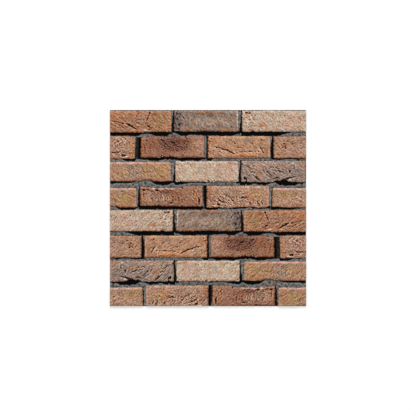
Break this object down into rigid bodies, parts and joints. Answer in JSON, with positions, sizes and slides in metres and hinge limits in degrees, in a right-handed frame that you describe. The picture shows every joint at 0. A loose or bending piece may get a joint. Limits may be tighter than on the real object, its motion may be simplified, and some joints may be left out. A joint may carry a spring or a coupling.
{
  "type": "peel and stick tile",
  "caption": "Square self-adhesive wall tile moulded as one sheet, with mixed-colour brick relief in running bond over a grey mortar bed and a flat adhesive back.",
  "frame": {"origin": "centre of the flat adhesive back, which lies on the floor or wall", "axes": "+X right along the brick courses, +Y up the wall, +Z out of the wall through the brick face"},
  "size_m": [0.305, 0.305, 0.0052],
  "materials": {
    "brick_face": "matte, printed and moulded to look like weathered brick",
    "mortar_bed": "matte grey compound with a lumpy mortar texture"
  },
  "bodies": {
    "root": {"brick_tile": "brick_face"}
  },
  "joints": []
}
